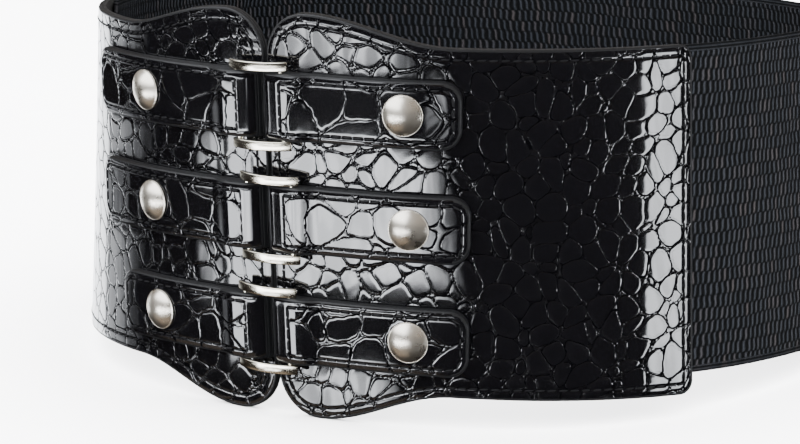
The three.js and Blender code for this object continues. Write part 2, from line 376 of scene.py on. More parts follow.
@dataclass
class Relief:
    """Embossed scales: round-cornered cells of uneven size, with small scales where they meet.

    Attributes:
        seed: seed of the scales' places and sizes.
        pitch: distance between the middles of two scales.
        row_share: distance between two rows, as a share of the pitch.
        jitter: how far a middle is off its row and column, as a share of the pitch.
        sway: how far the grooves wander and how far they ripple, as shares of the pitch.
        depth: depth of a groove.
        small_share: height of the small scales, as a share of the depth.
        groove: half the width of a groove.
        tilt: spread of the scales' slopes along the wall and up it.
        dome: how round the scales are along the wall and up it.
        unevenness: how much the scales' sizes differ.
        softness: least and most rounding of the scales' corners, as shares of the pitch.
        crease_growth: how fast the stored way to the groove grows.
        reach: half the side of the square that the pattern fills.
    """

    seed: int
    pitch: float = 6.9 * MM
    row_share: float = 0.9
    jitter: float = 0.40
    sway: tuple[float, float] = (0.13, 0.012)
    depth: float = 0.05 * MM
    small_share: float = 0.85
    groove: float = 0.3 * MM
    tilt: tuple[float, float] = (0.006, 0.0016)
    dome: tuple[float, float] = (0.5, 0.1)
    unevenness: float = 0.62
    softness: tuple[float, float] = (0.045, 0.12)
    crease_growth: float = 0.5 * MM
    reach: float = 200 * MM

    def __post_init__(self) -> None:
        """Scatters the cells' centres and draws their sizes, slopes and corners."""
        random = np.random.default_rng(self.seed)
        count = int(2 * self.reach / self.pitch) + 8
        row, column = np.meshgrid(np.arange(count), np.arange(count), indexing="ij")
        shift = random.uniform(-self.jitter, self.jitter, (2, count, count))
        self.x = (column + 0.5 * (row % 2) + shift[0]) * self.pitch - self.reach - 2 * self.pitch
        self.y = (row + shift[1]) * self.pitch * self.row_share - self.reach - 2 * self.pitch
        self.weight = (1 - random.uniform(0, 1, (count, count)) ** 3) * self.unevenness * self.pitch**2
        self.lean = [random.normal(0, tilt, (count, count)) for tilt in self.tilt]
        self.rank = random.permutation(count * count).reshape(count, count)
        self.soft = random.uniform(*self.softness, (count, count)) * self.pitch
        self.count = count

    def sample(self, s: Array, z: Array) -> tuple[Array, Array]:
        """The relief's height and the way to its nearest groove at places on the leather.

        Args:
            s: lengths along the wall.
            z: heights.

        Returns:
            Heights in metres, and a signed distance to the nearest groove, in millimetres,
            that crosses 0 in the groove and grows fast away from it.
        """
        wide, fine = (self.pitch * share for share in self.sway)
        u = s + wide * (np.sin(z / (11 * MM) + 1.3) + np.sin((s + z) / (5.3 * MM)))
        v = z + wide * (np.sin(s / (13 * MM) + 0.4) + np.sin((s - z) / (4.7 * MM) + 2))
        u = u + fine * np.sin((1.3 * z - s) / (0.9 * MM) + self.seed)
        v = v + fine * np.sin((1.2 * s + z) / (0.8 * MM) + self.seed)
        row = np.floor((v + self.reach + 2 * self.pitch) / (self.pitch * self.row_share)).astype(int)
        column = np.floor((u + self.reach + 2 * self.pitch) / self.pitch).astype(int)
        spots = []
        for down in range(-2, 3):
            for over in range(-2, 3):
                i = np.clip(row + down, 0, self.count - 1)
                j = np.clip(column + over, 0, self.count - 1)
                cost = (u - self.x[i, j]) ** 2 + (v - self.y[i, j]) ** 2 - self.weight[i, j]
                spots.append((cost, i, j))
        costs = np.stack([spot[0] for spot in spots])
        best = costs.argmin(axis=0)
        pick = np.arange(u.size)
        i = np.stack([spot[1] for spot in spots])[best, pick]
        j = np.stack([spot[2] for spot in spots])[best, pick]
        nearest = costs[best, pick]
        soft = self.soft[i, j]
        closest = np.full(u.shape, np.inf)
        side = np.ones(u.shape)
        crowd = np.zeros(u.shape)
        for cost, other_i, other_j in spots:
            apart = np.hypot(self.x[other_i, other_j] - self.x[i, j],
                             self.y[other_i, other_j] - self.y[i, j])
            border = np.where(apart > 1e-9, (cost - nearest) / np.maximum(2 * apart, 1e-9), np.inf)
            side = np.where(border < closest, np.sign(self.rank[other_i, other_j] - self.rank[i, j]), side)
            closest = np.minimum(closest, border)
            crowd += np.exp(-border / soft)
        edge = -soft * np.log(crowd)
        away = np.abs(edge)
        face = 1 - np.exp(-((away / self.groove) ** 1.5))
        dx, dy = u - self.x[i, j], v - self.y[i, j]
        slope = self.lean[0][i, j] * dx + self.lean[1][i, j] * dy
        bulge = -self.dome[0] * dx**2 - self.dome[1] * dy**2
        small = self.small_share * self.depth
        height = face * np.where(edge > 0, self.depth + slope + bulge, small) - self.depth
        return height, side * edge / MM * (1 + (away / self.crease_growth) ** 4)


def edge_distance(s: Array, z: Array, outline: Array, limit: float) -> Array:
    """Distance from places on a leather piece to its outline, up to a limit.

    Args:
        s: lengths along the wall.
        z: heights.
        outline: the closed outline's points, one row of s and z each.
        limit: distances past this one are not worked out.

    Returns:
        The distances, no more than limit.
    """
    distance = np.full(s.shape, limit)
    start, end = outline, np.roll(outline, -1, axis=0)
    first, last = np.minimum(start[:, 0], end[:, 0]), np.maximum(start[:, 0], end[:, 0])
    for block in np.array_split(np.argsort(s, kind="stable"), max(s.size // 500, 1)):
        px, pz = s[block][:, None], z[block][:, None]
        near = (last > px.min() - limit) & (first < px.max() + limit)
        if not near.any():
            continue
        x, y = start[near, 0], start[near, 1]
        run_x, run_y = end[near, 0] - x, end[near, 1] - y
        t = ((px - x) * run_x + (pz - y) * run_y) / np.maximum(run_x**2 + run_y**2, 1e-18)
        t = np.clip(t, 0, 1)
        gap = np.hypot(px - x - t * run_x, pz - y - t * run_y)
        distance[block] = np.minimum(limit, gap.min(axis=1))
    return distance


@dataclass
class Seam:
    """A closed seam and the stitches along it.

    Attributes:
        path: the seam's path, rows of s and z, the last the same as the first.
        pitch: distance between the middles of two stitches.
        stitch: length of a stitch.
        halo: half the width of the matt black patch round a stitch, a painted shadow of the stitch.
    """

    path: Array
    pitch: float = 3.45 * MM
    stitch: float = 2.75 * MM
    halo: float = 0.28 * MM

    def __post_init__(self) -> None:
        """Measures the path and spaces the stitches evenly along it."""
        self.run = np.concatenate([[0], np.cumsum(np.hypot(*np.diff(self.path, axis=0).T))])
        count = int(round(self.run[-1] / self.pitch))
        self.middles = (np.arange(count) + 0.5) * self.run[-1] / count

    def at(self, where: Array) -> Array:
        """Rows of s and z at lengths along the seam, which may pass its end."""
        where = np.mod(where, self.run[-1])
        return np.stack([np.interp(where, self.run, self.path[:, axis]) for axis in (0, 1)], axis=-1)

    def dent(self, s: Array, z: Array, near: Array) -> Array:
        """How far places are from the painted shadow round the nearest stitch.

        Args:
            s: lengths along the wall.
            z: heights.
            near: which of the places are close enough to the seam to be worth measuring.

        Returns:
            Distances in millimetres, 0 inside the painted shadow and NO_GROOVE where they aren't measured.
        """
        steps = np.linspace(-0.5, 0.5, 9) * (self.stitch - self.halo)
        spots = self.at((self.middles[:, None] + steps[None, :]).ravel())
        tree = KDTree(len(spots))
        for k, (x, y) in enumerate(spots):
            tree.insert((x, y, 0.0), k)
        tree.balance()
        way = np.full(s.shape, NO_GROOVE)
        for k in np.flatnonzero(near):
            way[k] = max(tree.find((s[k], z[k], 0.0))[2] - self.halo, 0.0) / MM
        return way


class Zone(Enum):
    """Stretches of a strip's section, by the material slot that they take."""

    FACE = 0
    EDGE = 1
    BACK = 2


@dataclass
class Strip:
    """A strip along the wall, meshed as a closed tube of sections.

    Attributes:
        name: the piece's name.
        stations: lengths along the wall of the sections.
        low: each section's lowest height.
        high: each section's highest height.
        face: each section's offset of the outer face.
        back: the offset of the inner face.
        spacing: distance between rows of the outer face.
        rim: radius of the outer face's edge.
        relief: the embossing, if the piece has one.
        seam: the stitching, or none.
        border: how far the seam is from the edge.
        border_drop: how far the border outside the seam falls to the edge.
        paint: how far the edge's paint reaches onto the face.
        plain_end: the length from the closure within which the leather has no relief.
        channel_depth: depth of the channel that the seam lies in.
        channel_width: half its width.
        seam_reach: how far from the seam the stitches' painted shadows are looked for.
        paint_line: depth of the line where the paint ends.
        paint_line_width: half its width.
        paint_fade: the length over which the relief rises next to the paint.
        rim_rows: rows of the face on each rounded rim.
        back_rows: rows of the inner face.
        edge_rows: rows of each edge.
    """

    name: str
    stations: Array
    low: Array
    high: Array
    face: Array
    back: float
    spacing: float
    rim: float
    relief: Relief | None = None
    seam: Seam | None = None
    border: float = 2.7 * MM
    border_drop: float = 0.0
    paint: float = 0.0
    plain_end: float = 0.0
    channel_depth: float = 0.05 * MM
    channel_width: float = 0.5 * MM
    seam_reach: float = 1.1 * MM
    paint_line: float = 0.07 * MM
    paint_line_width: float = 0.3 * MM
    paint_fade: float = 0.4 * MM
    rim_rows: int = 5
    back_rows: int = 14
    edge_rows: int = 4

    def outline(self) -> Array:
        """The strip's outline, closed, as rows of s and z."""
        upper = np.stack([self.stations, self.high], axis=1)
        lower = np.stack([self.stations, self.low], axis=1)[::-1]
        ends = []
        for at, a, b in ((-1, self.high[-1], self.low[-1]), (0, self.low[0], self.high[0])):
            heights = even_spread(a, b, 0.5 * MM)
            ends.append(np.stack([np.full(heights.shape, self.stations[at]), heights], axis=1))
        return np.concatenate([upper, ends[0], lower, ends[1]])

    def rows(self) -> tuple[Array, Array, list[Zone]]:
        """The section's rows: share of the height, share of the thickness, and zone.

        Returns:
            Shares of the height from low to high, shares of the way from back to face,
            and the zone of the stretch that follows each row.
        """
        middle = int(np.median(self.high - self.low) / self.spacing)
        rim_share = 2.2 * self.rim / float(np.max(self.high - self.low))
        fine = round_spread(0, rim_share, self.rim_rows)[:-1]
        across = np.concatenate([fine, np.linspace(rim_share, 1 - rim_share, middle), 1 - fine[::-1]])
        side = np.linspace(0, 1, self.edge_rows + 1)
        back = np.linspace(1, 0, self.back_rows + 1)
        share_z = np.concatenate([across, np.ones(self.edge_rows), back[1:], np.zeros(self.edge_rows)])
        share_n = np.concatenate([np.ones(across.size), 1 - side[1:], np.zeros(self.back_rows), side[1:]])
        zones = [Zone.FACE] * (across.size - 1) + [Zone.EDGE] * self.edge_rows
        zones += [Zone.BACK] * self.back_rows + [Zone.EDGE] * self.edge_rows
        return share_z, share_n, zones

    def build(self, materials: Sequence[bpy.types.Material]) -> bpy.types.Object:
        """Meshes the strip and gives each zone its material.

        Args:
            materials: the materials of the face, the edge and the back.

        Returns:
            The finished piece.
        """
        share_z, share_n, zones = self.rows()
        share_z, share_n = share_z[None, :], share_n[None, :]
        s = np.repeat(self.stations[:, None], share_z.size, axis=1)
        z = self.low[:, None] + (self.high - self.low)[:, None] * share_z
        outer = np.repeat(self.face[:, None], share_z.size, axis=1)
        reach = max(self.rim, self.border)
        flat_s, flat_z = s.ravel(), z.ravel()
        distance = edge_distance(flat_s, flat_z, self.outline(), reach).reshape(s.shape)
        outer = outer - corner_drop(distance, self.rim)
        crease = np.full(s.shape, NO_GROOVE)
        if self.relief:
            height, way = self.relief.sample(flat_s, flat_z)
            fade = smooth_step(distance, self.paint, self.paint + self.paint_fade)
            plain = np.abs(s) < self.plain_end
            outer = outer + np.where(plain, 0.0, height.reshape(s.shape) * fade)
            line = np.exp(-(((distance - self.paint) / self.paint_line_width) ** 2))
            outer = outer - self.paint_line * line
            crease = np.where(plain, crease, way.reshape(s.shape))
        if self.seam is not None:
            way = edge_distance(flat_s, flat_z, self.seam.path, 3 * self.channel_width)
            # Each stitch gets a matt black spot round it through the crease attribute: a painted shadow of
            # the stitch
            dent = self.seam.dent(flat_s, flat_z, way < self.seam_reach).reshape(s.shape)
            way = way.reshape(s.shape)
            outer = outer - self.channel_depth * np.exp(-((way / self.channel_width) ** 2))
            crease = np.where(dent < np.abs(crease), dent, crease)
            outer = outer - self.border_drop * np.clip(1 - distance / self.border, 0, 1) ** 1.5
        n = self.back + (outer - self.back) * share_n
        return self.mesh(s, z, n, distance, crease, zones, materials)

    def mesh(self, s: Array, z: Array, n: Array, distance: Array, crease: Array, zones: Sequence[Zone],
             materials: Sequence[bpy.types.Material]) -> bpy.types.Object:
        """Bends a grid round the section and along the wall, and closes it.

        Args:
            s: lengths along the wall, one row of the table for each station.
            z: heights.
            n: offsets outwards.
            distance: how far each place is from the outline.
            crease: the signed way to the nearest groove, 0 also in the painted shadow round a stitch.
            zones: the zone of each stretch of the section.
            materials: one material for each zone.

        Returns:
            The piece.
        """
        sections, rows = s.shape[0] - 1, s.shape[1] - 1
        bm = bmesh.new()
        bmesh.ops.create_grid(bm, x_segments=sections, y_segments=rows, size=0.5)
        mesh = bpy.data.meshes.new(self.name)
        bm.to_mesh(mesh)
        bm.free()
        unit = np.empty(len(mesh.vertices) * 3)
        mesh.vertices.foreach_get("co", unit)
        unit = unit.reshape(-1, 3)
        i = np.rint((unit[:, 0] + 0.5) * sections).astype(int)
        j = np.rint((unit[:, 1] + 0.5) * rows).astype(int)
        points = on_wall(s[i, j], z[i, j], n[i, j])
        mesh.vertices.foreach_set("co", points.ravel())
        self.attribute(mesh, "wall_place", np.stack([s[i, j], z[i, j], n[i, j]], axis=1))
        self.attribute(mesh, "crease", crease[i, j])
        corners = np.empty(len(mesh.loops), int)
        mesh.loops.foreach_get("vertex_index", corners)
        stretch = j[corners].reshape(-1, 4).min(axis=1)
        slots = np.array([zone.value for zone in zones])[stretch]
        near = distance[i, j][corners].reshape(-1, 4).mean(axis=1) < self.paint
        slots = np.where(near & (slots == Zone.FACE.value), Zone.EDGE.value, slots)
        mesh.polygons.foreach_set("material_index", slots.astype(np.int32))
        for material in materials:
            mesh.materials.append(material)
        close_mesh(mesh)
        piece = bpy.data.objects.new(self.name, mesh)
        bpy.context.scene.collection.objects.link(piece)
        return piece

    @staticmethod
    def attribute(mesh: bpy.types.Mesh, name: str, values: Array) -> None:
        """Stores one number or one vector for each point of a mesh."""
        kind, key = ("FLOAT_VECTOR", "vector") if values.ndim == 2 else ("FLOAT", "value")
        mesh.attributes.new(name, kind, "POINT").data.foreach_set(key, values.astype(np.float32).ravel())


def close_mesh(mesh: bpy.types.Mesh, merge: float = 0.002 * MM) -> None:
    """Merges a mesh's doubles, fills its open ends and turns its faces outwards."""
    bm = bmesh.new()
    bm.from_mesh(mesh)
    bmesh.ops.remove_doubles(bm, verts=bm.verts, dist=merge)
    rim = [edge for edge in bm.edges if edge.is_boundary]
    if rim:
        for cap in bmesh.ops.holes_fill(bm, edges=rim, sides=0)["faces"]:
            cap.material_index = Zone.EDGE.value
    bmesh.ops.recalc_face_normals(bm, faces=bm.faces)
    for face in bm.faces:
        face.smooth = True
    bm.to_mesh(mesh)
    bm.free()


def piece_from(bm: bmesh.types.BMesh, name: str, material: bpy.types.Material) -> bpy.types.Object:
    """Makes a piece from a finished bmesh.

    Args:
        bm: the shape, in scene metres.
        name: the piece's name.
        material: its one material.

    Returns:
        The piece, at the origin.
    """
    bmesh.ops.recalc_face_normals(bm, faces=bm.faces)
    for face in bm.faces:
        face.smooth = True
    mesh = bpy.data.meshes.new(name)
    bm.to_mesh(mesh)
    bm.free()
    mesh.materials.append(material)
    piece = bpy.data.objects.new(name, mesh)
    bpy.context.scene.collection.objects.link(piece)
    return piece


def report(piece: bpy.types.Object, slot: str, *nodes: str) -> None:
    """Rides a piece on the belt, hides the nodes that it stands for, and logs it."""
    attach(piece, "root")
    if nodes:
        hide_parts(*nodes)
    log.info("%s: %d faces", piece.name, len(piece.data.polygons))


class Value:
    """A socket's value that can be added, scaled and compared with plain operators."""

    def __init__(self, recipe: Recipe, socket: bpy.types.NodeSocket) -> None:
        """Wraps an output socket of a recipe's node."""
        self.recipe = recipe
        self.socket = socket

    def _math(self, operation: str, *values: Value | float) -> Value:
        """One Math node on this value and others."""
        return self.recipe.math(operation, self, *values)

    def __add__(self, other: Value | float) -> Value:
        """Sum."""
        return self._math("ADD", other)

    __radd__ = __add__

    def __sub__(self, other: Value | float) -> Value:
        """Difference."""
        return self._math("SUBTRACT", other)

    def __rsub__(self, other: float) -> Value:
        """Difference from a number."""
        return self.recipe.math("SUBTRACT", other, self)

    def __mul__(self, other: Value | float) -> Value:
        """Product."""
        return self._math("MULTIPLY", other)

    __rmul__ = __mul__

    def __truediv__(self, other: Value | float) -> Value:
        """Quotient."""
        return self._math("DIVIDE", other)

    def __pow__(self, other: float) -> Value:
        """Power."""
        return self._math("POWER", other)

    def floor(self) -> Value:
        """Whole part."""
        return self._math("FLOOR")

    def abs(self) -> Value:
        """Size without its sign."""
        return self._math("ABSOLUTE")

    def sin(self) -> Value:
        """Sine, in radians."""
        return self._math("SINE")

    def clamp(self) -> Value:
        """Kept between 0 and 1."""
        return self.recipe.range(self, 0.0, 1.0, 0.0, 1.0)

    def step(self, low: float, high: float) -> Value:
        """Eased 0 to 1 between low and high."""
        return self.recipe.range(self, low, high, 0.0, 1.0, "SMOOTHSTEP")


class Recipe:
    """A node tree, made one node at a time."""

    def __init__(self, name: str, world: bpy.types.World | None = None) -> None:
        """Starts the empty tree of a new material, or of the world where one is given."""
        self.material = world or bpy.data.materials.new(name)
        self.material.use_nodes = True
        self.tree = self.material.node_tree
        self.tree.nodes.clear()

    def node(self, kind: str, settings: dict[str, object] | None = None,
             inputs: dict[str | int, object] | None = None) -> bpy.types.Node:
        """Makes a node, sets it and fills its sockets.

        Args:
            kind: the node's type.
            settings: its own properties, set first; "stops" are a ramp's places and colours.
            inputs: values or wrapped sockets by the sockets' names or numbers.

        Returns:
            The node.
        """
        node = self.tree.nodes.new(kind)
        for key, value in (settings or {}).items():
            if key == "stops":
                ramp = node.color_ramp.elements
                while len(ramp) < len(value):
                    ramp.new(0.5)
                for stop, (place, colour) in zip(ramp, value):
                    stop.position, stop.color = place, colour
            else:
                setattr(node, key, value)
        for key, value in (inputs or {}).items():
            if isinstance(value, Value):
                self.tree.links.new(value.socket, node.inputs[key])
            else:
                node.inputs[key].default_value = value
        return node

    def out(self, node: bpy.types.Node, name: str | int = 0) -> Value:
        """Wraps one of a node's outputs."""
        return Value(self, node.outputs[name])

    def math(self, operation: str, *values: Value | float) -> Value:
        """A Math node on numbers and values."""
        return self.out(self.node("ShaderNodeMath", {"operation": operation}, dict(enumerate(values))))

    def range(self, value: Value, low: float, high: float, to_low: float, to_high: float,
              ease: str = "LINEAR") -> Value:
        """Maps a value from one range to another, kept inside it."""
        node = self.node("ShaderNodeMapRange", {"interpolation_type": ease, "clamp": True}, {
            "Value": value, "From Min": low, "From Max": high, "To Min": to_low, "To Max": to_high})
        return self.out(node)

    def place(self) -> tuple[Value, Value, Value, Value]:
        """The wall place stored on the mesh: the vector, and its s, z and n in metres."""
        node = self.node("ShaderNodeAttribute", {"attribute_name": "wall_place"})
        vector = self.out(node, "Vector")
        parts = self.node("ShaderNodeSeparateXYZ", None, {0: vector})
        return vector, self.out(parts, 0), self.out(parts, 1), self.out(parts, 2)

    def stored(self, name: str) -> Value:
        """A number stored on the mesh."""
        return self.out(self.node("ShaderNodeAttribute", {"attribute_name": name}), "Fac")

    def objects(self) -> Value:
        """Object coordinates, in metres."""
        return self.out(self.node("ShaderNodeTexCoord"), "Object")

    def noise(self, vector: Value, scale: float, detail: float = 2.0, roughness: float = 0.5) -> Value:
        """A soft noise from 0 to 1."""
        node = self.node("ShaderNodeTexNoise", {"noise_dimensions": "3D"}, {
            "Vector": vector, "Scale": scale, "Detail": detail, "Roughness": roughness})
        return self.out(node, "Fac")

    def lot(self, column: Value, row: Value) -> Value:
        """A random number from 0 to 1 for each column and row of a pattern."""
        spot = self.out(self.node("ShaderNodeCombineXYZ", None, {0: column, 1: row}))
        return self.out(self.node("ShaderNodeTexWhiteNoise", {"noise_dimensions": "3D"}, {"Vector": spot}))

    def colour_mix(self, factor: Value | float, first: Value | Sequence[float],
                   second: Value | Sequence[float]) -> Value:
        """A colour between two colours."""
        ends = [end if isinstance(end, Value) else (*end, 1.0) for end in (first, second)]
        node = self.node("ShaderNodeMix", {"data_type": "RGBA"}, {0: factor, 6: ends[0], 7: ends[1]})
        return self.out(node, 2)

    def bump(self, height: Value, distance: float, strength: float = 1.0,
             onto: Value | None = None) -> Value:
        """A Bump node's normal."""
        inputs: dict[str | int, object] = {"Height": height, "Distance": distance, "Strength": strength}
        if onto:
            inputs["Normal"] = onto
        return self.out(self.node("ShaderNodeBump", None, inputs))

    def shader(self, inputs: dict[str | int, object]) -> Value:
        """A Principled shader."""
        return self.out(self.node("ShaderNodeBsdfPrincipled", None, inputs))

    def finish(self, inputs: dict[str | int, object],
               over: tuple[Value, dict[str | int, object]] | None = None) -> bpy.types.Material:
        """Ends the tree with a Principled shader.

        Args:
            inputs: the shader's sockets.
            over: how much of a second shader lies over it, and the second shader's sockets.

        Returns:
            The finished material.
        """
        surface = self.shader(inputs)
        if over:
            surface = self.out(self.node("ShaderNodeMixShader", None, {
                0: over[0], 1: surface, 2: self.shader(over[1])}))
        self.node("ShaderNodeOutputMaterial", None, {"Surface": surface})
        return self.material


@dataclass(frozen=True)
class PatentLeather:
    """Glossy black leather, mirror smooth on its scales; matt in its grooves and round its stitches, with
    a darker colour there that is painted shade in the grooves and painted shadow round the stitches.
    """

    name: str = "patent_leather"
    colour: tuple[float, float, float] = (0.0007, 0.0007, 0.0009)
    # Darker than the face: painted shade in the grooves and painted shadow round the stitches
    groove_shade_colour: tuple[float, float, float, float] = (0.0004, 0.0004, 0.0005, 1.0)
    roughness: float = 0.045
    ior: float = 1.85
    crease_width: float = 0.34
    crease_depth: float = 0.055 * MM
    matt_from: tuple[float, float] = (0.45, 0.8)
    wrinkle_scale: float = 330.0
    grain_scale: float = 2400.0
    wrinkle_depth: float = 0.0022 * MM

    def make(self) -> bpy.types.Material:
        """Builds the material."""
        recipe = Recipe(self.name)
        vector, _, _, _ = recipe.place()
        groove = 1 - (recipe.stored("crease").abs() / self.crease_width).clamp()
        wrinkle = recipe.noise(vector, self.wrinkle_scale, 3.0, 0.5)
        grain = recipe.noise(vector, self.grain_scale, 1.0)
        soft = recipe.bump(wrinkle * 0.85 + grain * 0.15, self.wrinkle_depth)
        gloss = {
            "Base Color": recipe.colour_mix(grain, self.colour, tuple(1.5 * c for c in self.colour)),
            "Roughness": wrinkle * 0.02 + self.roughness, "IOR": self.ior,
            "Normal": recipe.bump(1 - groove, self.crease_depth, 1.0, soft)}
        # Matt mix in the grooves and round the stitches: partly a matt finish, partly painted shade from
        # its darker colour
        matt = {"Base Color": self.groove_shade_colour, "Roughness": 1.0, "Specular IOR Level": 0.0}
        return recipe.finish(gloss, (groove.step(*self.matt_from), matt))


@dataclass(frozen=True)
class EdgePaint:
    """The dark grey paint on the cut edges of the leather, with the line where two layers meet."""

    name: str
    joint: float
    colour: tuple[float, float, float] = (0.0016, 0.0017, 0.002)
    roughness: float = 0.38
    joint_width: float = 0.3 * MM

    def make(self) -> bpy.types.Material:
        """Builds the material."""
        recipe = Recipe(self.name)
        vector, _, _, offset = recipe.place()
        ripple = recipe.noise(vector, 900.0, 3.0)
        line = 1 - ((offset - self.joint).abs() / self.joint_width).clamp()
        return recipe.finish({
            "Base Color": recipe.colour_mix(ripple, self.colour, tuple(1.9 * c for c in self.colour)),
            "Roughness": recipe.range(ripple, 0.3, 0.7, self.roughness - 0.06, self.roughness + 0.1),
            "Specular IOR Level": 0.27, "Normal": recipe.bump(ripple * 0.25 - line, 0.3 * MM, 0.8)})


@dataclass(frozen=True)
class Backing:
    """The plain matt black backing of the leather, inside the belt."""

    name: str = "leather_backing"
    colour: tuple[float, float, float] = (0.0014, 0.0014, 0.0016)

    def make(self) -> bpy.types.Material:
        """Builds the material."""
        recipe = Recipe(self.name)
        vector, _, _, _ = recipe.place()
        nap = recipe.noise(vector, 1500.0, 4.0, 0.65)
        cloud = recipe.noise(vector, 60.0, 2.0)
        return recipe.finish({
            "Base Color": recipe.colour_mix(cloud, self.colour, tuple(1.7 * c for c in self.colour)),
            "Roughness": recipe.range(nap, 0.3, 0.7, 0.75, 0.92),
            "Normal": recipe.bump(nap, 0.15 * MM, 0.6)})


@dataclass(frozen=True)
class Webbing:
    """Elastic woven in upright dashes, laid like bricks, between two selvedges.

    Attributes:
        name: the material's name.
        valley: colour between the dashes.
        cool_thread: colour of most dashes.
        warm_thread: colour of a few.
        column: width of a dash and its gap.
        dash: height of a dash.
        slant: how far a dash leans, in columns.
        sway: how far it bends, in columns.
        row_shift: how far each row is shifted from the one below it, in columns.
        row_wander: how much that differs from row to row.
        drift: how far the dashes drift along the band, in columns, and up it, in rows.
        selvedge: width of a selvedge.
        selvedge_cord: width of one of its cords.
    """

    name: str = "elastic_webbing"
    valley: tuple[float, float, float] = (0.0006, 0.0008, 0.0011)
    cool_thread: tuple[float, float, float] = (0.0100, 0.0117, 0.0150)
    warm_thread: tuple[float, float, float] = (0.0160, 0.0140, 0.0145)
    column: float = 2.27 * MM
    dash: float = 3.84 * MM
    slant: float = 0.34
    sway: float = 0.07
    row_shift: float = 0.37
    row_wander: float = 0.14
    drift: tuple[float, float] = (0.9, 0.35)
    selvedge: float = 2.2 * MM
    selvedge_cord: float = 1.1 * MM

    def make(self) -> bpy.types.Material:
        """Builds the material."""
        recipe = Recipe(self.name)
        vector, s, z, _ = recipe.place()
        along = z / self.dash + (recipe.noise(vector, 70.0, 1.0) - 0.5) * self.drift[1]
        row = along.floor()
        rise = along - row - 0.5
        sway = (rise * (2 * math.pi)).sin() * self.sway - rise * self.slant
        shift = row * self.row_shift + (row * 1.7).sin() * self.row_wander
        shift = shift + (recipe.noise(vector, 110.0, 1.0) - 0.5) * self.drift[0]
        across = s / self.column + shift + sway
        column = across.floor()
        ridge = 1 - ((across - column - 0.5) * 2).abs()
        end = 1 - (rise * 2).abs() ** 6.0
        dash = ridge.step(0.3, 0.95) * (end * 0.75 + 0.25)
        beyond = z.abs() - (ELASTIC.half_height - self.selvedge)
        edge = beyond.step(-0.2 * MM, 0.2 * MM)
        cord = (beyond * (2 * math.pi / self.selvedge_cord)).sin() * 0.5 + 0.5
        height = dash * (1 - edge) + cord * edge * 0.5
        lot = recipe.lot(column, row)
        fibre = recipe.noise(vector, 3200.0, 2.0, 0.6)
        thread = recipe.colour_mix(lot**4.0, self.cool_thread, self.warm_thread)
        shade = (height * (0.7 + lot * 0.3) * (0.5 + fibre * 0.9)).clamp()
        return recipe.finish({
            "Base Color": recipe.colour_mix(shade, self.valley, thread),
            "Roughness": recipe.range(fibre, 0.3, 0.7, 0.6, 0.8), "Specular IOR Level": 0.06,
            "Normal": recipe.bump(height + fibre * 0.12, 0.5 * MM, 0.9)})


@dataclass(frozen=True)
class SewingThread:
    """Waxed black thread, twisted."""

    name: str = "sewing_thread"
    colour: tuple[float, float, float] = (0.0012, 0.0012, 0.0015)

    def make(self) -> bpy.types.Material:
        """Builds the material."""
        recipe = Recipe(self.name)
        fibre = recipe.noise(recipe.objects(), 4200.0, 2.0)
        return recipe.finish({
            "Base Color": recipe.colour_mix(fibre, self.colour, tuple(3 * c for c in self.colour)),
            "Roughness": recipe.range(fibre, 0.3, 0.7, 0.45, 0.6), "Specular IOR Level": 0.15,
            "Normal": recipe.bump(fibre, 0.1 * MM, 0.7)})


@dataclass(frozen=True)
class SatinNickel:
    """Nickel with a soft shine and a slightly warm tone."""

    name: str = "satin_nickel"
    colour: tuple[float, float, float] = (0.80, 0.75, 0.66)
    roughness: float = 0.28

    def make(self) -> bpy.types.Material:
        """Builds the material."""
        recipe = Recipe(self.name)
        vector = recipe.objects()
        cloud = recipe.noise(vector, 260.0, 3.0)
        fine = recipe.noise(vector, 5200.0, 1.0)
        return recipe.finish({
            "Base Color": recipe.colour_mix(cloud, self.colour, tuple(0.9 * c for c in self.colour)),
            "Metallic": 1.0,
            "Roughness": recipe.range(cloud, 0.3, 0.7, self.roughness - 0.03, self.roughness + 0.05),
            "Normal": recipe.bump(fine, 0.02 * MM, 0.4)})


@dataclass
class Finishes:
    """All the belt's materials, made once."""

    leather: bpy.types.Material = field(default_factory=lambda: PatentLeather().make())
    panel_edge: bpy.types.Material = field(
        default_factory=lambda: EdgePaint("panel_edge_paint", -PANEL.thickness / 2).make())
    strap_edge: bpy.types.Material = field(default_factory=lambda: EdgePaint(
        "strap_edge_paint", STRAP.clearance + STRAP.thickness / 2).make())
    backing: bpy.types.Material = field(default_factory=lambda: Backing().make())
    webbing: bpy.types.Material = field(default_factory=lambda: Webbing().make())
    thread: bpy.types.Material = field(default_factory=lambda: SewingThread().make())
    nickel: bpy.types.Material = field(default_factory=lambda: SatinNickel().make())
    bright_nickel: bpy.types.Material = field(
        default_factory=lambda: SatinNickel("bright_nickel", (0.83, 0.785, 0.67), 0.13).make())


def seam_path(outline: Array, inset: float) -> Array:
    """An outline moved inwards, with a point every tenth of a millimetre.

    Args:
        outline: the closed outline, rows of s and z.
        inset: how far inwards.

    Returns:
        The closed path, rows of s and z.
    """
    keep = [0]
    for k in range(1, len(outline)):
        if np.hypot(*(outline[k] - outline[keep[-1]])) > 0.05 * MM:
            keep.append(k)
    points = outline[keep]
    run = np.roll(points, -1, axis=0) - np.roll(points, 1, axis=0)
    run /= np.hypot(run[:, 0], run[:, 1])[:, None]
    area = np.sum(points[:, 0] * np.roll(points[:, 1], -1) - np.roll(points[:, 0], -1) * points[:, 1])
    inward = np.stack([-run[:, 1], run[:, 0]], axis=1) * math.copysign(1, area)
    moved = points + inward * inset
    moved = moved[edge_distance(moved[:, 0], moved[:, 1], points, 2 * inset) > inset * 0.97]
    moved = np.concatenate([moved, moved[:1]])
    length = np.concatenate([[0], np.cumsum(np.hypot(*np.diff(moved, axis=0).T))])
    fine = np.linspace(0, length[-1], int(length[-1] / (0.1 * MM)))
    return np.stack([np.interp(fine, length, moved[:, 0]), np.interp(fine, length, moved[:, 1])], axis=1)


